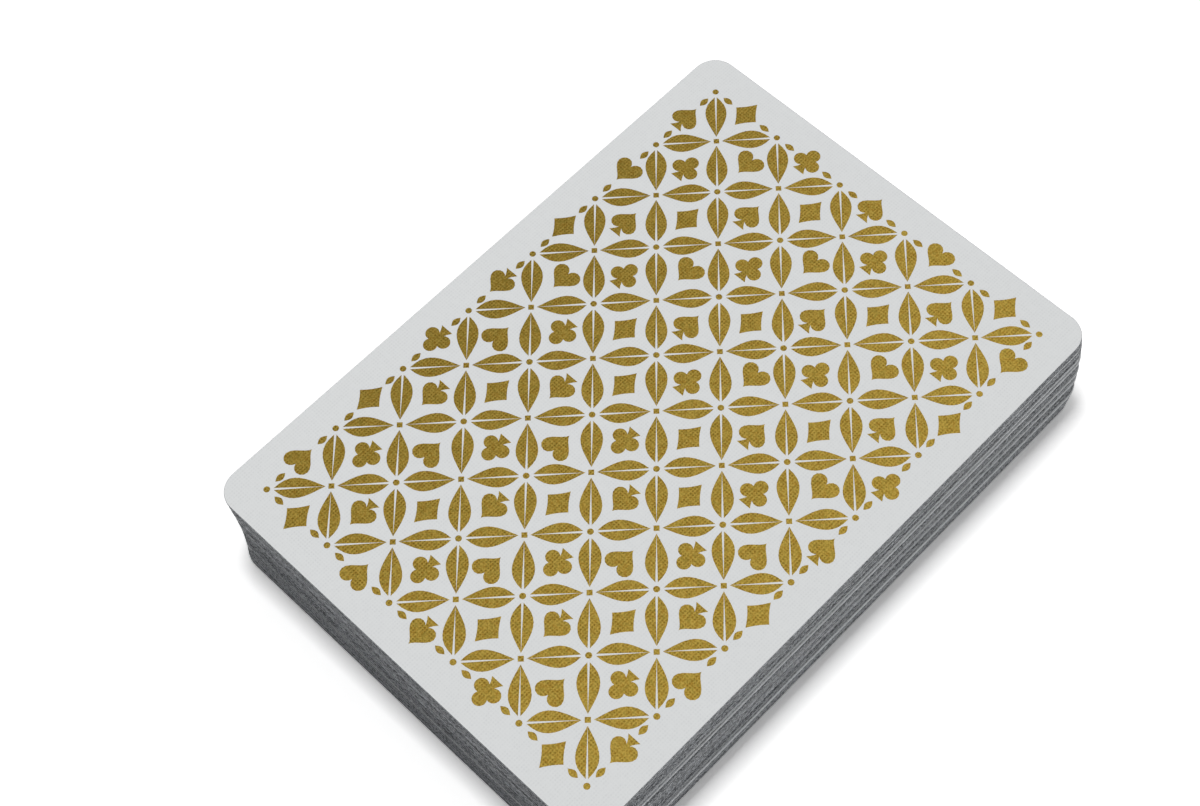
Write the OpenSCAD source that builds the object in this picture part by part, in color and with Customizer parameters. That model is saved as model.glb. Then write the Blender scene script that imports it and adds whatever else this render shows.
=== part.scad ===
// Pack of playing cards, roughly squared up and lying face down, with every card a piece of its own
// X runs across the cards, Y along them and Z up through the pack, in millimetres
// The origin is under the middle of the pack, on the surface that it lies on

/* [Card] */
// Width of a card
card_w = 63; // [55:0.5:70]
// Length of a card
card_l = 88; // [80:0.5:100]
// Thickness of a card's stock
card_t = 0.3; // [0.24:0.01:0.4]
// Radius of a card's die-cut corners
corner_r = 3.2; // [1.5:0.1:6]

/* [Pack] */
// Air that the embossed finish keeps between one card and the next
air_gap = 0.007; // [0.004:0.001:0.03]
// Furthest that chance puts a card off the middle, across the pack and along it
chance_slip = 0.03; // [0:0.01:0.2]
// Furthest that chance swings the ends of a card out of line with the pack
chance_swing = 0.03; // [0:0.01:0.2]
// How far a card that stands proud of the pack's side comes out
proud_slip = 0.14; // [0:0.01:0.3]
// How far the pack bows out of plumb across it
bow_side = 0.63; // [0:0.01:1.5]
// How far the pack bows out of plumb along it
bow_end = 0.36; // [0:0.01:1.5]
// Seed of the chance
chance_seed = 11; // [1:1:99]

/* [Hidden] */
// Names of the cards, in the order that a new pack is sorted in
rank_names = ["ace", "two", "three", "four", "five", "six", "seven",
              "eight", "nine", "ten", "jack", "queen", "king"];
rising_suits = ["hearts", "clubs"];
falling_suits = ["diamonds", "spades"];
joker_names = ["black_joker", "red_joker"];
top_rank = len(rank_names) - 1;

// Every card, from the one on the table to the one on top
NODES = concat(
    [for (suit = rising_suits, rank = [0 : top_rank]) str(rank_names[rank], "_of_", suit)],
    [for (suit = falling_suits, rank = [top_rank : -1 : 0]) str(rank_names[rank], "_of_", suit)],
    joker_names
);

card_count = len(NODES);
// Height from one card to the next
pitch = card_t + air_gap;
// Places of the middles of the corner arcs
corner_x = card_w / 2 - corner_r;
corner_y = card_l / 2 - corner_r;
$fn = 64;

// How the pack bows: at shares of its height from the table, shares of bow_side and of bow_end,
// where one half is plumb over the origin
side_bow_shares = [[0, 0.1], [0.1, 0.6], [0.25, 1], [0.5, 0.72], [0.75, 0.5], [0.9, 0.3], [1, 0]];
end_bow_shares = [[0, 0], [0.15, 0], [0.27, 0.25], [0.4, 0.75], [0.55, 1], [0.75, 0.75], [0.9, 0.45], [1, 0.3]];
plumb_share = 0.5;

// The few proud cards, with shares of proud_slip: how far the middle of the card comes out,
// and how much further its near end swings out
proud_shares = [
    ["ten_of_spades", 0.5, -0.3],
    ["king_of_spades", 0.9, -0.15],
    ["eight_of_diamonds", 0.7, -0.7],
    ["king_of_clubs", 0.65, -0.65],
    ["four_of_clubs", 0.9, 0.15],
    ["six_of_hearts", 0.45, 0.2]
];
square_shares = ["", 0, 0];

// A card's row in the table above, or the row of a card that stays square
function proud_row(place) =
    let (found = [for (row = proud_shares) if (row[0] == NODES[place]) row])
    len(found) > 0 ? found[0] : square_shares;

// One share per card, from -1 to 1
function chance_shares(seed) = rands(-1, 1, card_count, seed);
side_shares = chance_shares(chance_seed);
end_shares = chance_shares(chance_seed + 1);
swing_shares = chance_shares(chance_seed + 2);

// How far the bow carries a card off the middle of the pack, from the bow's size and its table
function bow_of(place, bow, shares) = bow * (lookup(place / (card_count - 1), shares) - plumb_share);

// How far a card lies off the middle of the pack, across it and along it
function side_of(place) = bow_of(place, bow_side, side_bow_shares)
    + chance_slip * side_shares[place] + proud_slip * proud_row(place)[1];
function end_of(place) = bow_of(place, bow_end, end_bow_shares) + chance_slip * end_shares[place];

// How far a card's near end swings towards +X, and the angle that this turns the card by
function swing_of(place) = chance_swing * swing_shares[place] + proud_slip * proud_row(place)[2];
function turn_of(place) = asin(swing_of(place) / (card_l / 2));

// Outline of a card: two crossed oblongs, with a disc in each of the corners that they leave
module card_outline() {
    square([2 * corner_x, card_l], center = true);
    square([card_w, 2 * corner_y], center = true);
    for (x = [-corner_x, corner_x], y = [-corner_y, corner_y])
        translate([x, y]) circle(r = corner_r);
}

// The card at one place in the pack, counted from the bottom, as it lies there
module card(place) {
    color("whitesmoke")
        translate([side_of(place), end_of(place), pitch * place])
            rotate(turn_of(place))
                linear_extrude(height = card_t) card_outline();
}

for (place = [0 : card_count - 1])
    card(place);
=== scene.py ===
"""Looks of a squared-up pack of playing cards: gold-printed backs, printed faces and silver-grey edges."""

import math

import bpy
from mathutils import Matrix, Vector
from mathutils.geometry import delaunay_2d_cdt


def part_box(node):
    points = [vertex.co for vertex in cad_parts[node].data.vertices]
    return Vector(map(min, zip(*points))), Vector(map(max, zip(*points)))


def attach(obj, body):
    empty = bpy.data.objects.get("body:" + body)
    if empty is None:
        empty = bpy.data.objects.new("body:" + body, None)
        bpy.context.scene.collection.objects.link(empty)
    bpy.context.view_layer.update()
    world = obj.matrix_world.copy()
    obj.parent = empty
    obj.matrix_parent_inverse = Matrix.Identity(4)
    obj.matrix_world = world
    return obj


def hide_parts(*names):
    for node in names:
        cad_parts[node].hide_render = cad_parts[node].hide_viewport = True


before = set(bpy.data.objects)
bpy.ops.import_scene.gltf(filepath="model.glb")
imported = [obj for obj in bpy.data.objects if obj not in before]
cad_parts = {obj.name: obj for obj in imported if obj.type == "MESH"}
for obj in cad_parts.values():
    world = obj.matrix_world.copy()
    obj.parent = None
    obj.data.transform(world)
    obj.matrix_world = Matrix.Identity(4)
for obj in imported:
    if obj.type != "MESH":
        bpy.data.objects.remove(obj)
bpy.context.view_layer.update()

# Lengths are written in millimetres, and the scene is built in metres
MM = 0.001

# Material slots of every card
STOCK, GOLD, EDGE, RED, BLACK = range(5)


# Flat shapes: a shape is a list of loops of points, and loops may overlap

# Pips and stars are drawn about one unit high
HALF_PIP = 0.5
HEART_STEPS = 28
HEART_HALF_WIDTH = 16
HEART_WAVES = (13, -5, -2, -1)
HEART_HEIGHT = 29
HEART_MIDDLE = -2.5
STEM_STEPS = 4
STEM_HALF_WIDTH = 0.035
STEM_FLARE = 0.2
SPADE_BLADE_Y = 0.09
SPADE_BLADE_SIZE = 0.82
SPADE_STEM_TOP = -0.1
CLUB_LEAF_R = 0.235
CLUB_LEAF_STEPS = 18
CLUB_LEAF_PLACES = ((0, 0.265), (-0.25, -0.08), (0.25, -0.08))
CLUB_CORE_R = 0.13
CLUB_CORE_Y = 0.02
CLUB_CORE_STEPS = 10
CLUB_STEM_TOP = 0.05
DIAMOND_STEPS = 5
DIAMOND_HALF_WIDTH = 0.4
DIAMOND_PULL = 0.3
STAR_POINTS = 5
STAR_RADII = (0.5, 0.21)

# Leaves and sprigs are drawn at the size that they have on the backs
LEAF_STEPS = 10
LEAF_HALF_WIDTH = 1.35
LEAF_RIB = 0.14
# A leaf is widest before its middle, and fuller at its base than at its tip
LEAF_LEAN = 0.8
LEAF_BASE_SHARE = 1.08
LEAF_TAPER = 0.16
SPRIG_STEPS = 8
SPRIG_LENGTH = 1.6
SPRIG_HALF_WIDTH = 0.42

GLYPH_STEPS = 3
GLYPH_WIDEST = 0.86
# A glyph's triangles below this area are left out
GLYPH_SLIVER = 1e-5


def disc(radius, steps, x=0.0, y=0.0):
    turns = [2 * math.pi * k / steps for k in range(steps)]
    return [(x + radius * math.cos(a), y + radius * math.sin(a)) for a in turns]


def placed(shape, x=0.0, y=0.0, size=1.0, turn=0.0):
    """The shape scaled, turned and then moved."""
    c = size * math.cos(turn)
    s = size * math.sin(turn)
    return [[(x + c * px - s * py, y + s * px + c * py) for px, py in loop] for loop in shape]


def bar(left, bottom, right, top):
    return [(left, bottom), (right, bottom), (right, top), (left, top)]


def heart_loop():
    """The heart curve: a cubed sine across it, and a sum of cosine waves up it."""
    points = []
    for k in range(HEART_STEPS):
        t = -2 * math.pi * k / HEART_STEPS
        x = HEART_HALF_WIDTH * math.sin(t) ** 3
        y = sum(size * math.cos(rate * t) for rate, size in enumerate(HEART_WAVES, 1))
        points.append((x / HEART_HEIGHT, (y - HEART_MIDDLE) / HEART_HEIGHT))
    return points


def stem_loop(top):
    """A foot that flares out towards the bottom, as under a spade or a club."""
    flare = []
    for k in range(STEM_STEPS + 1):
        t = k / STEM_STEPS
        flare.append((STEM_HALF_WIDTH + STEM_FLARE * t ** 2, top - (top + HALF_PIP) * t))
    return [(-x, y) for x, y in flare] + flare[::-1]


def heart():
    return [heart_loop()]


def spade():
    blade = placed([heart_loop()], y=SPADE_BLADE_Y, size=SPADE_BLADE_SIZE, turn=math.pi)
    return blade + [stem_loop(SPADE_STEM_TOP)]


def club():
    leaves = [disc(CLUB_LEAF_R, CLUB_LEAF_STEPS, x, y) for x, y in CLUB_LEAF_PLACES]
    core = disc(CLUB_CORE_R, CLUB_CORE_STEPS, y=CLUB_CORE_Y)
    return leaves + [core, stem_loop(CLUB_STEM_TOP)]


def diamond():
    """A lozenge whose sides curve inwards."""
    tips = [(DIAMOND_HALF_WIDTH, 0), (0, HALF_PIP), (-DIAMOND_HALF_WIDTH, 0), (0, -HALF_PIP)]
    loop = []
    for k, (ax, ay) in enumerate(tips):
        bx, by = tips[(k + 1) % len(tips)]
        for n in range(DIAMOND_STEPS):
            t = n / DIAMOND_STEPS
            pull = 1 - DIAMOND_PULL * t * (1 - t)
            loop.append((pull * (ax + (bx - ax) * t), pull * (ay + (by - ay) * t)))
    return [loop]


def star():
    loop = []
    for k in range(2 * STAR_POINTS):
        turn = math.pi / 2 + math.pi * k / STAR_POINTS
        radius = STAR_RADII[k % 2]
        loop.append((radius * math.cos(turn), radius * math.sin(turn)))
    return [loop]


def leaf(length):
    """The two halves of a leaf along +X, with a bare rib between them that narrows to the tip."""
    edge = []
    for k in range(1, LEAF_STEPS):
        t = k / LEAF_STEPS
        fullness = LEAF_BASE_SHARE - LEAF_TAPER * t
        edge.append((length * t, LEAF_HALF_WIDTH * math.sin(math.pi * t ** LEAF_LEAN) * fullness))
    upper = [(0, LEAF_RIB), (length, 0)] + edge[::-1]
    lower = [(x, -y) for x, y in upper[::-1]]
    return [upper, lower]


def sprig():
    """A small pointed oval along +X."""
    edge = []
    for k in range(1, SPRIG_STEPS):
        t = k / SPRIG_STEPS
        edge.append((SPRIG_LENGTH * t, SPRIG_HALF_WIDTH * math.sin(math.pi * t)))
    return [[(0, 0)] + [(x, -y) for x, y in edge] + [(SPRIG_LENGTH, 0)] + edge[::-1]]


def glyph(sign):
    """The triangles of a letter or number, one unit high, centred, and narrowed where it is too wide."""
    curve = bpy.data.curves.new("sign", "FONT")
    curve.body = sign
    curve.resolution_u = GLYPH_STEPS
    holder = bpy.data.objects.new("sign", curve)
    bpy.context.scene.collection.objects.link(holder)
    bpy.context.view_layer.update()
    mesh = holder.evaluated_get(bpy.context.evaluated_depsgraph_get()).to_mesh()
    points = [v.co.to_2d() for v in mesh.vertices]
    left, right = min(p.x for p in points), max(p.x for p in points)
    bottom, top = min(p.y for p in points), max(p.y for p in points)
    up = 1 / (top - bottom)
    across = min(up, GLYPH_WIDEST / (right - left))
    fitted = [(across * (p.x - (left + right) / 2), up * (p.y - (bottom + top) / 2)) for p in points]
    front = [face for face in mesh.polygons if face.normal.z > 0 and face.area > GLYPH_SLIVER]
    shape = [[fitted[i] for i in face.vertices] for face in front]
    bpy.data.objects.remove(holder)
    bpy.data.curves.remove(curve)
    return shape


PIPS = {"hearts": heart(), "diamonds": diamond(), "clubs": club(), "spades": spade()}
SUITS = list(PIPS)
RANK_SIGNS = {
    "ace": "A", "two": "2", "three": "3", "four": "4", "five": "5", "six": "6", "seven": "7",
    "eight": "8", "nine": "9", "ten": "10", "jack": "J", "queen": "Q", "king": "K",
}
GLYPHS = {rank: glyph(sign) for rank, sign in RANK_SIGNS.items()}


# Back print: a trellis of leaves with pips in its gaps, as a list of (shape, ink)

BACK_MARGIN = 2.6
BACK_PIP = 4.0
PIP_FIT = {"hearts": 0.88, "diamonds": 1.08, "clubs": 0.96, "spades": 1.0}
COLUMNS = 10
ROWS = 14
# How far the order of the suits moves on from row to row, where two steps make a suit
ROW_SHIFT = 3
LEAF_BASE_GAP = 0.85
LEAF_TIP_GAP = 0.7
DOT_R = 0.42
DOT_STEPS = 10
LOZENGE_R = 0.5
LOZENGE_STEPS = 4
SPRIG_GAP = 1.4


def back_pip(i, j, x, y):
    """The pip in a gap of the trellis, upside down in the lower half."""
    upper = (j, i) > (ROWS / 2, COLUMNS / 2)
    column = i if upper else COLUMNS - i
    row = j if upper else ROWS - j
    suit = SUITS[(column + ROW_SHIFT * row) // 2 % len(SUITS)]
    return placed(PIPS[suit], x, y, BACK_PIP * PIP_FIT[suit], 0 if upper else math.pi)


def rim_turns(i, j):
    """Directions along the rim of the field, from a crossing that lies on it."""
    turns = []
    if i in (0, COLUMNS):
        turns += [turn for turn, end in ((math.pi / 2, ROWS), (-math.pi / 2, 0)) if j != end]
    if j in (0, ROWS):
        turns += [turn for turn, end in ((0, COLUMNS), (math.pi, 0)) if i != end]
    return turns


def back_dot(i, j, x, y):
    """A dot on a crossing. Along the rim, sprigs join the dots and pips into a border."""
    shapes = [[disc(DOT_R, DOT_STEPS, x, y)]]
    for turn in rim_turns(i, j):
        foot = Vector((math.cos(turn), math.sin(turn))) * SPRIG_GAP
        shapes.append(placed(sprig(), x + foot.x, y + foot.y, turn=turn))
    return shapes


def back_print(width, length):
    """Leaves along a trellis, pips in its gaps, and dots and lozenges on its crossings."""
    step_x = (width - 2 * BACK_MARGIN - BACK_PIP) / COLUMNS
    step_y = (length - 2 * BACK_MARGIN - BACK_PIP) / ROWS
    run = math.hypot(step_x, step_y)
    one_leaf = leaf(run - LEAF_BASE_GAP - LEAF_TIP_GAP)

    def crossing(i, j):
        return Vector(((i - COLUMNS / 2) * step_x, (j - ROWS / 2) * step_y))

    shapes = []
    for i in range(COLUMNS):
        for j in range(ROWS):
            root = crossing(i + i % 2, j + j % 2)
            along = (crossing(i + 1 - i % 2, j + 1 - j % 2) - root) / run
            start = root + along * LEAF_BASE_GAP
            shapes.append(placed(one_leaf, *start, turn=math.atan2(along.y, along.x)))
    for i in range(COLUMNS + 1):
        for j in range(ROWS + 1):
            x, y = crossing(i, j)
            if (i + j) % 2:
                shapes.append(back_pip(i, j, x, y))
            elif i % 2:
                shapes.append([disc(LOZENGE_R, LOZENGE_STEPS, x, y)])
            else:
                shapes += back_dot(i, j, x, y)
    return [(shape, GOLD) for shape in shapes]


# Face prints, as lists of (shape, ink)

SUIT_INKS = {"hearts": RED, "diamonds": RED, "clubs": BLACK, "spades": BLACK}
INDEX_X = 26.6
INDEX_Y = 36.6
INDEX_H = 7.4
INDEX_PIP_Y = 29.0
INDEX_PIP = 5.0
PIP_COLUMN = 12.5
PIP_ROW = 26.0
PIP_H = 10.5
ACE_H = 19.0
JOKER_STAR = 26.0

# Rows of pips on the number cards, in shares of the row spacing: at both sides, and in the middle
ENDS = (1, -1)
CENTRE = (0,)
THIRDS = (1 / 3, -1 / 3)
SIDE_ROWS = {
    "four": [ENDS], "five": [ENDS],
    "six": [CENTRE, ENDS], "seven": [CENTRE, ENDS], "eight": [CENTRE, ENDS],
    "nine": [THIRDS, ENDS], "ten": [THIRDS, ENDS],
}
MIDDLE_ROWS = {
    "two": [1, -1], "three": [0, 1, -1], "five": [0], "seven": [0.5],
    "eight": [0.5, -0.5], "nine": [0], "ten": [2 / 3, -2 / 3],
}

# Frame and rosette of the court cards
FRAME_X = 20.0
FRAME_Y = 33.5
FRAME_LINE = 0.3
INNER_LINE = 0.12
INNER_GAP = 1.1
COURT_PIP_INSET = 7.875
ROSETTE_PETALS = {"jack": 4, "queen": 6, "king": 8}
ROSETTE_LEAF = 6.2
ROSETTE_SIZE = 1.9
ROSETTE_GAP = 2.3
ROSETTE_EYE_R = 1.2
ROSETTE_EYE_STEPS = 16
ROSETTE_SPRIG_R = 11.0


def both_ways(shape, x, y, size):
    """A shape at a place on the face, and again turned half round."""
    return placed(shape, x, y, size) + placed(shape, -x, -y, size, math.pi)


def pip_places(rank):
    """Places of the pips on a number card, in shares of the column and row spacing."""
    places = []
    for rows in SIDE_ROWS.get(rank, []):
        places += [(column, row) for column in (-1, 1) for row in rows]
    return places + [(0, row) for row in MIDDLE_ROWS.get(rank, [])]


def frame_lines(x, y, line):
    """An oblong line round the middle of the face."""
    upright = [bar(side - line, -y, side + line, y) for side in (-x, x)]
    level = [bar(-x, side - line, x, side + line) for side in (-y, y)]
    return upright + level


def court_frame():
    """A line round the middle of the face, with a finer one inside it."""
    inner = frame_lines(FRAME_X - INNER_GAP, FRAME_Y - INNER_GAP, INNER_LINE)
    return frame_lines(FRAME_X, FRAME_Y, FRAME_LINE) + inner


def rosette(petals):
    """Leaves round an eye, the first of them upright, with a sprig between each leaf and the next."""
    petal = placed(leaf(ROSETTE_LEAF), ROSETTE_GAP, size=ROSETTE_SIZE)
    small = placed(sprig(), ROSETTE_SPRIG_R, size=ROSETTE_SIZE)
    shapes = [disc(ROSETTE_EYE_R, ROSETTE_EYE_STEPS)]
    for k in range(petals):
        turn = math.pi * (2 * k / petals + 0.5)
        shapes += placed(petal, turn=turn)
        shapes += placed(small, turn=turn + math.pi / petals)
    return shapes


def joker_print(ink):
    shapes = both_ways(star(), -INDEX_X, INDEX_Y, INDEX_H)
    shapes += court_frame()
    shapes += placed(star(), size=JOKER_STAR)
    return [(shapes, ink)]


def face_print(node):
    """What is printed on the face of a card, from its name."""
    if node.endswith("joker"):
        return joker_print(RED if node.startswith("red") else BLACK)
    rank, suit = node.split("_of_")
    ink = SUIT_INKS[suit]
    pip = PIPS[suit]
    shapes = both_ways(GLYPHS[rank], -INDEX_X, INDEX_Y, INDEX_H)
    shapes += both_ways(pip, -INDEX_X, INDEX_PIP_Y, INDEX_PIP)
    if rank == "ace":
        shapes += placed(pip, size=ACE_H)
    for column, row in pip_places(rank):
        turn = math.pi if row < 0 else 0
        shapes += placed(pip, column * PIP_COLUMN, row * PIP_ROW, PIP_H, turn)
    if rank not in ROSETTE_PETALS:
        return [(shapes, ink)]
    shapes += court_frame()
    shapes += both_ways(pip, COURT_PIP_INSET - FRAME_X, FRAME_Y - COURT_PIP_INSET, PIP_H)
    return [(shapes, ink), (rosette(ROSETTE_PETALS[rank]), GOLD)]


# Card meshes

CORNER_STEPS = 16
EDGE_ROUND = 0.045
LIP_STEPS = 2
# How far a lip stands out past the card above where its painted highlight starts, and where it is full
HIGHLIGHT_FROM = 0.05
HIGHLIGHT_FULL = 0.13
# Shares of the painted highlight on the lips and of the painted shade in the seams, on the rings round an
# edge from the top down
HIGHLIGHT_SHARES = (1.0, 1.0, 1.0, 0.5, 0.0, 0.0, 0.0)
SEAM_SHADE_SHARES = (1.0, 0.85, 0.45, 0.0, 0.45, 0.85, 1.0)
# Digits to which the places of CAD points are compared
PLACE_DIGITS = 5
# How the print is cut: only within the outline, and with points this close made one
CUT_INSIDE = 1
CUT_JOIN = 1e-5


def measured(node):
    """A card's sizes and how it lies, from its CAD outline, in millimetres."""
    low, high = (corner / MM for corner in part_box(node))
    middle = (low + high) / 2
    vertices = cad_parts[node].data.vertices
    found = {(round(v.co.x / MM, PLACE_DIGITS), round(v.co.y / MM, PLACE_DIGITS)) for v in vertices}
    loop = sorted(found, key=lambda p: math.atan2(p[1] - middle.y, p[0] - middle.x))
    sides = [Vector(b) - Vector(a) for a, b in zip(loop, loop[1:] + loop[:1])]
    sides.sort(key=lambda side: side.length)
    longest = sides[-1] if sides[-1].y > 0 else -sides[-1]
    turn = math.atan2(-longest.x, longest.y)
    square = placed([loop], turn=-turn)[0]
    width = max(x for x, _ in square) - min(x for x, _ in square)
    length = max(y for _, y in square) - min(y for _, y in square)
    return {
        "x": middle.x, "y": middle.y, "z": low.z, "turn": turn, "thick": high.z - low.z,
        "width": width, "length": length, "corner": (length - longest.length) / 2,
    }


def outline(card, inset):
    """The card's outline, drawn in by an inset, anticlockwise."""
    radius = card["corner"] - inset
    corners = [(1, 1, 0), (-1, 1, 1), (-1, -1, 2), (1, -1, 3)]
    loop = []
    for sx, sy, quarter in corners:
        cx = sx * (card["width"] / 2 - card["corner"])
        cy = sy * (card["length"] / 2 - card["corner"])
        for k in range(CORNER_STEPS + 1):
            a = math.pi / 2 * (quarter + k / CORNER_STEPS)
            loop.append((cx + radius * math.cos(a), cy + radius * math.sin(a)))
    return loop


def lying(card):
    """The card's outline where it lies in the pack."""
    return placed([outline(card, 0.0)], card["x"], card["y"], turn=card["turn"])[0]


def painted_lip_highlight(card, above):
    """How much painted highlight each point of a card's lip gets, where it stands out past the card above.
    """
    shares = []
    # a card without straight sides is a circle, which gives the direction that each point faces
    circle = outline(dict(card, width=2 * card["corner"], length=2 * card["corner"]), 0.0)
    for (x, y), (ax, ay), (nx, ny) in zip(lying(card), lying(above), circle):
        out = ((x - ax) * nx + (y - ay) * ny) / card["corner"]
        shares.append(min(max((out - HIGHLIGHT_FROM) / (HIGHLIGHT_FULL - HIGHLIGHT_FROM), 0.0), 1.0))
    return shares


def facing_up(loop):
    """The loop with its points in anticlockwise order."""
    area = sum(a[0] * b[1] - b[0] * a[1] for a, b in zip(loop, loop[1:] + loop[:1]))
    return loop if area > 0 else loop[::-1]


def cut_print(border, prints):
    """Cuts the printed shapes into a flat sheet.

    Returns its points, triangles and inks, and which of its points the border's points became.
    """
    points = []
    loops = []
    inks = []

    def add(loop, ink):
        loops.append(list(range(len(points), len(points) + len(loop))))
        points.extend(Vector(p) for p in facing_up(loop))
        inks.append(ink)

    add(border, STOCK)
    for shape, ink in prints:
        for loop in shape:
            add(loop, ink)
    made, _, faces, sources, _, inside = delaunay_2d_cdt(points, [], loops, CUT_INSIDE, CUT_JOIN, True)
    rim = {}
    for place, found in enumerate(sources):
        for source in found:
            if source < len(border):
                rim[source] = place
    return made, faces, [inks[max(found)] for found in inside], [rim[k] for k in range(len(border))]


def edge_levels(thick):
    """Insets and heights of the rings round a cut edge with rounded lips, from the top down."""
    lip = []
    for k in range(1, LIP_STEPS + 1):
        a = math.pi / 2 * k / LIP_STEPS
        lip.append((EDGE_ROUND * (1 - math.sin(a)), EDGE_ROUND * (1 - math.cos(a))))
    return [(inset, thick - drop) for inset, drop in lip] + [(0.0, thick / 2)] + lip[::-1]


def card_mesh(name, card, back, face, lip_highlights):
    """A closed card: printed back on top, rounded edge, and printed face below."""
    points = []
    faces = []
    inks = []

    def lay(sheet, height, across):
        """Adds a printed sheet, mirrored where across is -1, and returns its rim."""
        made, triangles, colours, rim = sheet
        first = len(points)
        points.extend((across * p.x, p.y, height) for p in made)
        faces.extend(tuple(first + k for k in triangle) for triangle in triangles)
        inks.extend(colours)
        return [first + k for k in rim]

    top = lay(back, card["thick"], 1)
    under = lay(face, 0.0, -1)
    # the face is drawn mirrored, so its rim runs the other way round
    half = len(top) // 2
    under = [under[(half - 1 - k) % len(top)] for k in range(len(top))]
    rings = [top]
    for inset, height in edge_levels(card["thick"]):
        loop = outline(card, inset)
        rings.append(list(range(len(points), len(points) + len(loop))))
        points.extend((x, y, height) for x, y in loop)
    rings.append(under)
    for upper, lower in zip(rings, rings[1:]):
        for k in range(len(upper)):
            n = (k + 1) % len(upper)
            faces.append((upper[k], lower[k], lower[n], upper[n]))
            inks.append(EDGE)

    pose = Matrix.Translation((card["x"], card["y"], card["z"])) @ Matrix.Rotation(card["turn"], 4, "Z")
    mesh = bpy.data.meshes.new(name)
    mesh.from_pydata([pose @ Vector(point) * MM for point in points], [], faces)
    for finish in MATERIALS:
        mesh.materials.append(finish)
    mesh.polygons.foreach_set("material_index", inks)
    mesh.polygons.foreach_set("use_smooth", [ink == EDGE for ink in inks])
    mark_edge(mesh, rings, lip_highlights)
    mesh.validate()
    mesh.update()
    return mesh


def mark_edge(mesh, rings, lip_highlights):
    """Writes the painted highlight of the lips and the painted shade of the seams to the points of a
    card's edge, where its material reads them.
    """
    for name in ("painted_lip_highlight", "painted_seam_shade"):
        mesh.attributes.new(name, "FLOAT", "POINT")
    bright = mesh.attributes["painted_lip_highlight"].data
    dark = mesh.attributes["painted_seam_shade"].data
    for ring, ring_highlight, ring_seam_shade in zip(rings, HIGHLIGHT_SHARES, SEAM_SHADE_SHARES):
        for k, share in zip(ring, lip_highlights):
            bright[k].value = ring_highlight * share
            dark[k].value = ring_seam_shade


# Shader nodes

GRAIN_DETAIL = 2.0
# Embossed finish: rows of dimples, joined a little, some worn to a share of their depth
LINEN_PITCH = 0.38
LINEN_DEPTH = 0.012
LINEN_JOIN = 0.12
LINEN_WEAR_SIZE = 0.7
LINEN_WEAR_RANGE = (0.35, 0.65)
LINEN_WORN_SHARE = 0.3


def put(tree, socket, value):
    """Sets a socket to a number or colour, or links it to another socket."""
    if isinstance(value, bpy.types.NodeSocket):
        tree.links.new(value, socket)
    else:
        socket.default_value = value


def calc(tree, operation, *values):
    made = tree.nodes.new("ShaderNodeMath")
    made.operation = operation
    for socket, value in zip(made.inputs, values):
        put(tree, socket, value)
    return made.outputs[0]


def spread(tree, value, low, high, start=0.0, end=1.0, ease="LINEAR"):
    """Maps a value from start..end to low..high."""
    made = tree.nodes.new("ShaderNodeMapRange")
    made.interpolation_type = ease
    put(tree, made.inputs["Value"], value)
    limits = {"From Min": start, "From Max": end, "To Min": low, "To Max": high}
    for socket, limit in limits.items():
        made.inputs[socket].default_value = limit
    return made.outputs["Result"]


def ramp(tree, value, start, end, low=0.0, high=1.0):
    """Maps a value from start..end to low..high, eased at both ends."""
    return spread(tree, value, low, high, start, end, "SMOOTHSTEP")


def mixed(tree, kind, factor, first, second):
    made = tree.nodes.new("ShaderNodeMix")
    made.data_type = kind
    for socket, value in zip(("Factor", "A", "B"), (factor, first, second)):
        put(tree, made.inputs[socket], value)
    return made.outputs["Result"]


def blend(tree, factor, first, second):
    """A number between two, by a factor from 0 to 1."""
    return mixed(tree, "FLOAT", factor, first, second)


def tint(tree, factor, first, second):
    """A colour between two, by a factor from 0 to 1."""
    return mixed(tree, "RGBA", factor, first, second)


def where(tree):
    return tree.nodes.new("ShaderNodeTexCoord").outputs["Object"]


def axes(tree):
    """The place on the object as three numbers."""
    made = tree.nodes.new("ShaderNodeSeparateXYZ")
    tree.links.new(where(tree), made.inputs[0])
    return made.outputs


def mark(tree, name):
    """A number that the mesh carries on its points."""
    made = tree.nodes.new("ShaderNodeAttribute")
    made.attribute_name = name
    return made.outputs["Fac"]


def grain(tree, size, upright=1.0):
    """Noise from about 0 to 1 with features of a size, so many times as high as they are wide."""
    stretch = tree.nodes.new("ShaderNodeVectorMath")
    stretch.operation = "MULTIPLY"
    put(tree, stretch.inputs[0], where(tree))
    put(tree, stretch.inputs[1], (1, 1, 1 / upright))
    made = tree.nodes.new("ShaderNodeTexNoise")
    tree.links.new(stretch.outputs["Vector"], made.inputs["Vector"])
    made.inputs["Scale"].default_value = 1 / (size * MM)
    made.inputs["Detail"].default_value = GRAIN_DETAIL
    return made.outputs["Fac"]


def wave(tree, place, pitch):
    """A cosine wave from 0 to 1 along one axis."""
    cosine = calc(tree, "COSINE", calc(tree, "MULTIPLY", place, 2 * math.pi / (pitch * MM)))
    return calc(tree, "MULTIPLY_ADD", cosine, 0.5, 0.5)


def linen(tree):
    """Depth of the embossed finish, from 0 to 1."""
    place = axes(tree)
    across = wave(tree, place["X"], LINEN_PITCH)
    along = wave(tree, place["Y"], LINEN_PITCH)
    rows = calc(tree, "MULTIPLY", across, calc(tree, "MULTIPLY_ADD", along, 1 - LINEN_JOIN, LINEN_JOIN))
    worn = ramp(tree, grain(tree, LINEN_WEAR_SIZE), *LINEN_WEAR_RANGE, LINEN_WORN_SHARE)
    return calc(tree, "MULTIPLY", rows, worn)


def emboss(tree, height, depth):
    """A normal from a height; a depth below zero sinks it."""
    made = tree.nodes.new("ShaderNodeBump")
    made.invert = depth < 0
    made.inputs["Strength"].default_value = 1.0
    made.inputs["Distance"].default_value = abs(depth) * MM
    tree.links.new(height, made.inputs["Height"])
    return made.outputs["Normal"]


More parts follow.
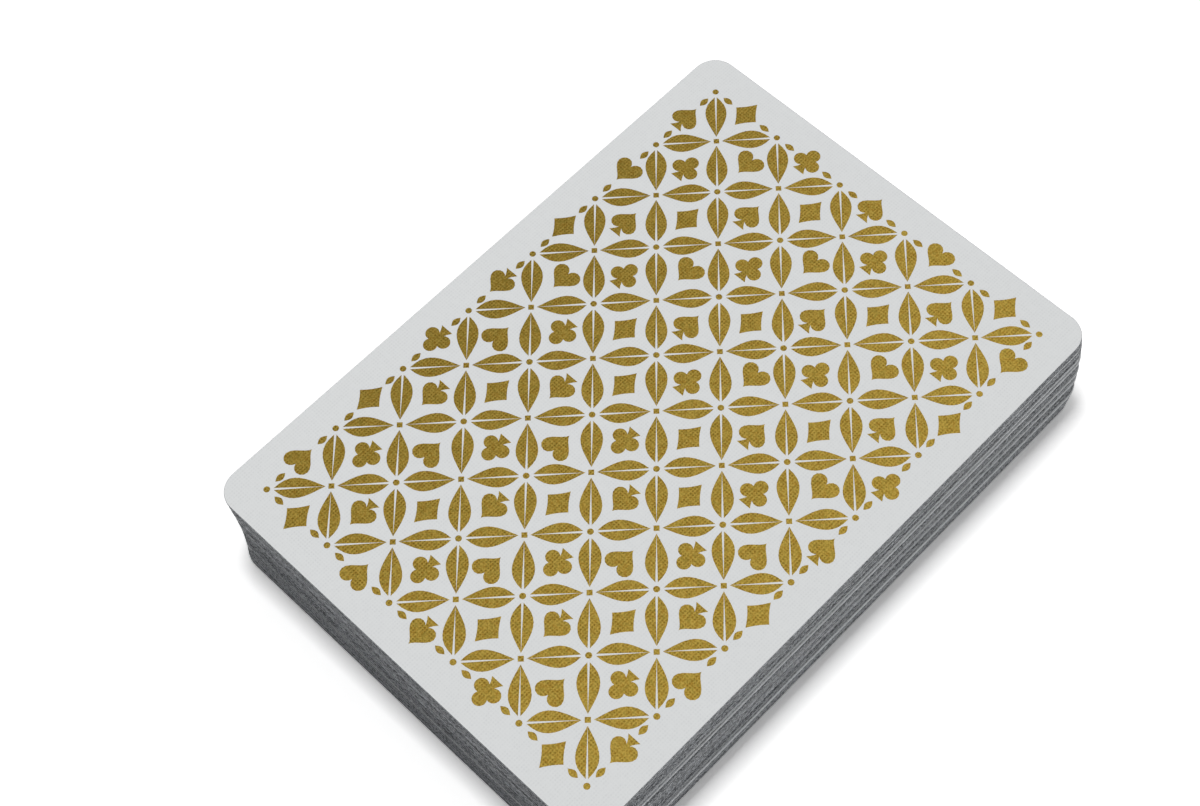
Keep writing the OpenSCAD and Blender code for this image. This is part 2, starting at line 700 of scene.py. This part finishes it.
def material(name, **fixed):
    """A material with values set on its shader's sockets, whose names take underscores for spaces here."""
    made = bpy.data.materials.new(name)
    made.use_nodes = True
    shader = made.node_tree.nodes["Principled BSDF"]
    for socket, value in fixed.items():
        shader.inputs[socket.replace("_", " ")].default_value = value
    return made, made.node_tree, shader


# Materials: colours are linear, sizes of grain are in millimetres, and ranges are stretches of the noise

STOCK_SPECULAR = 0.4
STOCK_PATCHES = (0.80, 0.815, 0.815, 1), (0.84, 0.855, 0.855, 1)
STOCK_PATCH_SIZE = 9.0
STOCK_SPECK = (0.78, 0.795, 0.80, 1)
STOCK_SPECK_SIZE = 0.3
# Painted shade in the dimples of the finish
STOCK_DIMPLE_SHADE = (0.74, 0.755, 0.76, 1)
STOCK_ROUGH = (0.42, 0.55)
STOCK_ROUGH_SIZE = 0.8

GOLD_HUES = (0.40, 0.235, 0.034, 1), (0.36, 0.265, 0.046, 1)
GOLD_HUE_SIZE = 0.55
GOLD_HUE_RANGE = (0.36, 0.64)
GOLD_FLAKE = (0.58, 0.405, 0.08, 1)
GOLD_FLAKE_SIZE = 0.22
GOLD_FLAKE_RANGE = (0.32, 0.68)
# Painted shade in the dimples of the finish
GOLD_DIMPLE_SHADE = (0.25, 0.15, 0.018, 1)
GOLD_ROUGH = (0.25, 0.39)
GOLD_ROUGH_SIZE = 0.5

EDGE_METALLIC = 0.12
EDGE_SPECULAR = 0.1
EDGE_DARK = (0.012, 0.014, 0.018, 1)
EDGE_SHINES = (0.76, 0.75, 0.735, 1), (0.70, 0.765, 0.86, 1)
EDGE_SHINE_SIZE = 0.45
# Painted highlight on the lips of cards that stand out past the card above
EDGE_LIP_HIGHLIGHT = (0.86, 0.875, 0.89, 1)
EDGE_ROUGH = (0.62, 0.38)
# Specks and streaks: how high they are for their width, and how much they and each card count
SPECK_SIZE = 0.35
SPECK_UPRIGHT = 0.65
SPECK_RANGE = (0.4, 0.6)
SPECK_WEIGHT = 0.62
SPECK_HEIGHT = 0.02
STREAK_SIZE = 4.0
STREAK_UPRIGHT = 0.025
STREAK_RANGE = (0.35, 0.65)
STREAK_WEIGHT = 0.38
CARD_WEIGHT = 0.48
# Painted shade: brightness that is left in the seams between cards, and at the foot of the pack below a
# height
SEAM_SHADE_BRIGHTNESS = 0.2
FOOT_SHADE_SHARE = 0.72
FOOT_SHADE_BELOW = 3.0
FOOT_SHADE_UP_TO = 8.5

# Inks as (painted shade in the dimples of the finish, colour of the ink)
RED_INK = (0.50, 0.012, 0.018, 1), (0.60, 0.022, 0.028, 1)
BLACK_INK = (0.007, 0.007, 0.008, 1), (0.016, 0.016, 0.018, 1)
INK_SPECULAR = 0.3
INK_ROUGH = (0.36, 0.5)
INK_ROUGH_SIZE = 0.8


def white_stock():
    """Coated paper with an embossed finish, a little patchy and speckled, with painted shade in its
    dimples.
    """
    made, tree, shader = material("card_stock", Specular_IOR_Level=STOCK_SPECULAR)
    weave = linen(tree)
    patchy = tint(tree, grain(tree, STOCK_PATCH_SIZE), *STOCK_PATCHES)
    speckled = tint(tree, grain(tree, STOCK_SPECK_SIZE), patchy, STOCK_SPECK)
    put(tree, shader.inputs["Base Color"], tint(tree, weave, speckled, STOCK_DIMPLE_SHADE))
    put(tree, shader.inputs["Roughness"], spread(tree, grain(tree, STOCK_ROUGH_SIZE), *STOCK_ROUGH))
    put(tree, shader.inputs["Normal"], emboss(tree, weave, -LINEN_DEPTH))
    return made


def gold_print():
    """Metallic ink: fine bright flakes over gold that leans to red here and to green there, with painted
    shade in the dimples.
    """
    made, tree, shader = material("gold_print", Metallic=1.0)
    weave = linen(tree)
    flakes = ramp(tree, grain(tree, GOLD_FLAKE_SIZE), *GOLD_FLAKE_RANGE)
    hue = ramp(tree, grain(tree, GOLD_HUE_SIZE), *GOLD_HUE_RANGE)
    flaked = tint(tree, flakes, tint(tree, hue, *GOLD_HUES), GOLD_FLAKE)
    put(tree, shader.inputs["Base Color"], tint(tree, weave, flaked, GOLD_DIMPLE_SHADE))
    put(tree, shader.inputs["Roughness"], spread(tree, grain(tree, GOLD_ROUGH_SIZE), *GOLD_ROUGH))
    put(tree, shader.inputs["Normal"], emboss(tree, weave, -LINEN_DEPTH))
    return made


def cut_edge():
    """Silvered edges: specks and streaks, brighter on some cards, painted shade in the seams and towards
    the foot of the pack, and painted highlights on lips that stand out.
    """
    made, tree, shader = material(
        "silver_grey_edge", Metallic=EDGE_METALLIC, Specular_IOR_Level=EDGE_SPECULAR)
    speck = ramp(tree, grain(tree, SPECK_SIZE, SPECK_UPRIGHT), *SPECK_RANGE)
    streak = ramp(tree, grain(tree, STREAK_SIZE, STREAK_UPRIGHT), *STREAK_RANGE)
    level = calc(tree, "MULTIPLY_ADD", streak, STREAK_WEIGHT, calc(tree, "MULTIPLY", speck, SPECK_WEIGHT))
    # each card's own number runs from 0 to 1, and counts from its middle
    whose = tree.nodes.new("ShaderNodeObjectInfo").outputs["Random"]
    level = calc(tree, "MULTIPLY_ADD", calc(tree, "SUBTRACT", whose, 0.5), CARD_WEIGHT, level)
    # painted shade in the seams between cards
    level = calc(tree, "MULTIPLY", level, ramp(tree, mark(tree, "painted_seam_shade"), 0.0, 1.0, 1.0, SEAM_SHADE_BRIGHTNESS))
    # painted shade: the edges darker towards the foot of the pack
    height = axes(tree)["Z"]
    level = calc(tree, "MULTIPLY", level, ramp(tree, height, FOOT_SHADE_BELOW * MM, FOOT_SHADE_UP_TO * MM, FOOT_SHADE_SHARE))
    shine = tint(tree, grain(tree, EDGE_SHINE_SIZE, SPECK_UPRIGHT), *EDGE_SHINES)
    silver = tint(tree, level, EDGE_DARK, shine)
    # painted highlight on the lips that stand out past the card above
    put(tree, shader.inputs["Base Color"], tint(tree, mark(tree, "painted_lip_highlight"), silver, EDGE_LIP_HIGHLIGHT))
    put(tree, shader.inputs["Roughness"], spread(tree, speck, *EDGE_ROUGH))
    put(tree, shader.inputs["Normal"], emboss(tree, speck, SPECK_HEIGHT))
    return made


def printing_ink(name, dark, light):
    """Plain ink, with painted shade in the dimples of the finish."""
    made, tree, shader = material(name, Specular_IOR_Level=INK_SPECULAR)
    weave = linen(tree)
    put(tree, shader.inputs["Base Color"], tint(tree, weave, light, dark))
    put(tree, shader.inputs["Roughness"], spread(tree, grain(tree, INK_ROUGH_SIZE), *INK_ROUGH))
    put(tree, shader.inputs["Normal"], emboss(tree, weave, -LINEN_DEPTH))
    return made


# Stage: camera, light, world and floor

# Camera, solved from the edges of the pack in the photograph
EYE = Vector((92.345, -87.83, 256.22))
TARGET = Vector((-6.075, -3.94, 16.57))
ROLL = math.radians(-5.92)
SENSOR = 36.0
LENS = 67.4
CLIP_START = 10.0

SOFTBOX_AT = Vector((-66.0, -14.0, 750.0))
SOFTBOX_SIDE = 160.0
SOFTBOX_POWER = 2.8

# Light from the world, brightest from one side
AMBIENT_FROM = (0.6, 0.7, 0.4)
AMBIENT_FADE = (-0.42, 0.9)
AMBIENT_DIM = 0.02
AMBIENT_BRIGHT = 0.6
# What mirrored rays see: a pale room with a dark round panel, which shades the gold towards one side
MIRRORED_BRIGHT = 0.95
MIRRORED_DARK = 0.0
PANEL_TOWARDS = Vector((-0.64, 0.31, 0.70)).normalized()
PANEL_OUTER = math.radians(19.5)
PANEL_INNER = math.radians(13.5)

FLOOR_REACH = 1500.0
FLOOR_DROP = 0.02
FLOOR_WHITE = 1.5
FLOOR_GREY = 0.35
SHADOW_REACH = 220.0


def make_camera():
    lens = bpy.data.cameras.new("camera")
    lens.sensor_fit = "HORIZONTAL"
    lens.sensor_width = SENSOR
    lens.lens = LENS
    lens.clip_start = CLIP_START * MM
    view = (TARGET - EYE).normalized()
    level = view.cross(Vector((0, 0, 1))).normalized()
    upright = level.cross(view)
    right = level * math.cos(ROLL) + upright * math.sin(ROLL)
    up = right.cross(view)
    pose = Matrix((right, up, -view)).transposed().to_4x4()
    pose.translation = EYE * MM
    camera = bpy.data.objects.new("camera", lens)
    camera.matrix_world = pose
    bpy.context.scene.collection.objects.link(camera)
    bpy.context.scene.camera = camera


def make_light():
    """A soft lamp overhead."""
    light = bpy.data.lights.new("softbox", "AREA")
    light.shape = "SQUARE"
    light.size = SOFTBOX_SIDE * MM
    light.energy = SOFTBOX_POWER
    lamp = bpy.data.objects.new("softbox", light)
    lamp.location = SOFTBOX_AT * MM
    lamp.visible_camera = False
    lamp.visible_glossy = False
    bpy.context.scene.collection.objects.link(lamp)


def make_world():
    """Brighter to one side for the light, plain white for the camera, and with a dark panel in mirrors."""
    world = bpy.data.worlds.new("studio")
    bpy.context.scene.world = world
    world.use_nodes = True
    tree = world.node_tree
    sky = tree.nodes["Background"]
    sky.inputs["Color"].default_value = (1, 1, 1, 1)
    towards = tree.nodes.new("ShaderNodeTexCoord").outputs["Generated"]

    def along(direction):
        made = tree.nodes.new("ShaderNodeVectorMath")
        made.operation = "DOT_PRODUCT"
        put(tree, made.inputs[0], towards)
        put(tree, made.inputs[1], direction)
        return made.outputs["Value"]

    path = tree.nodes.new("ShaderNodeLightPath").outputs
    light = ramp(tree, along(AMBIENT_FROM), *AMBIENT_FADE, AMBIENT_DIM, AMBIENT_BRIGHT)
    panel_edge = (math.cos(PANEL_OUTER), math.cos(PANEL_INNER))
    mirrored = ramp(tree, along(PANEL_TOWARDS), *panel_edge, MIRRORED_BRIGHT, MIRRORED_DARK)
    level = blend(tree, path["Is Glossy Ray"], light, mirrored)
    clear = calc(tree, "MAXIMUM", path["Is Camera Ray"], path["Is Transmission Ray"])
    put(tree, sky.inputs["Strength"], blend(tree, clear, level, 1.0))


def seen(tree):
    """1 for rays from the camera and for mirrored or refracted ones, and 0 for light."""
    path = tree.nodes.new("ShaderNodeLightPath").outputs
    direct = calc(tree, "MAXIMUM", path["Is Camera Ray"], path["Is Glossy Ray"])
    return calc(tree, "MAXIMUM", direct, path["Is Transmission Ray"])


def floor_material():
    """Keeps the pack's shadow, and runs out to plain white where it is seen."""
    made = bpy.data.materials.new("floor")
    made.use_nodes = True
    tree = made.node_tree
    tree.nodes.clear()
    shown = seen(tree)
    grey, white = [(level, level, level, 1) for level in (FLOOR_GREY, FLOOR_WHITE)]
    matt = tree.nodes.new("ShaderNodeBsdfDiffuse")
    put(tree, matt.inputs["Color"], tint(tree, shown, grey, white))
    glow = tree.nodes.new("ShaderNodeEmission")
    away = tree.nodes.new("ShaderNodeVectorMath")
    away.operation = "LENGTH"
    tree.links.new(tree.nodes.new("ShaderNodeNewGeometry").outputs["Position"], away.inputs[0])
    reach = SHADOW_REACH * MM
    fade = ramp(tree, away.outputs["Value"], reach / 2, reach)
    both = tree.nodes.new("ShaderNodeMixShader")
    put(tree, both.inputs["Fac"], calc(tree, "MULTIPLY", fade, shown))
    tree.links.new(matt.outputs[0], both.inputs[1])
    tree.links.new(glow.outputs[0], both.inputs[2])
    out = tree.nodes.new("ShaderNodeOutputMaterial")
    tree.links.new(both.outputs[0], out.inputs["Surface"])
    return made


def make_floor():
    mesh = bpy.data.meshes.new("floor")
    reach = FLOOR_REACH * MM
    drop = -FLOOR_DROP * MM
    mesh.from_pydata([(x, y, drop) for x, y in bar(-reach, -reach, reach, reach)], [], [(0, 1, 2, 3)])
    mesh.materials.append(floor_material())
    floor = bpy.data.objects.new("floor", mesh)
    bpy.context.scene.collection.objects.link(floor)


make_camera()
make_light()
make_world()
make_floor()


# The pack: a dressed card for every CAD card, from the table up

# In the order of the material slots
MATERIALS = [
    white_stock(),
    gold_print(),
    cut_edge(),
    printing_ink("red_ink", *RED_INK),
    printing_ink("black_ink", *BLACK_INK),
]

cards = {node: measured(node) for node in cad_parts}
upwards = sorted(cards, key=lambda node: cards[node]["z"])
lowest = cards[upwards[0]]
back = cut_print(outline(lowest, EDGE_ROUND), back_print(lowest["width"], lowest["length"]))
for node, next_up in zip(upwards, upwards[1:] + upwards[-1:]):
    card = cards[node]
    face = cut_print(outline(card, EDGE_ROUND), face_print(node))
    # how much painted highlight each lip gets, where it stands out past the card above
    lip_highlights = painted_lip_highlight(card, cards[next_up])
    piece = bpy.data.objects.new(node + "_card", card_mesh(node + "_card", card, back, face, lip_highlights))
    bpy.context.scene.collection.objects.link(piece)
    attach(piece, node)
    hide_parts(node)

scene = bpy.context.scene
scene.view_settings.view_transform = "Standard"
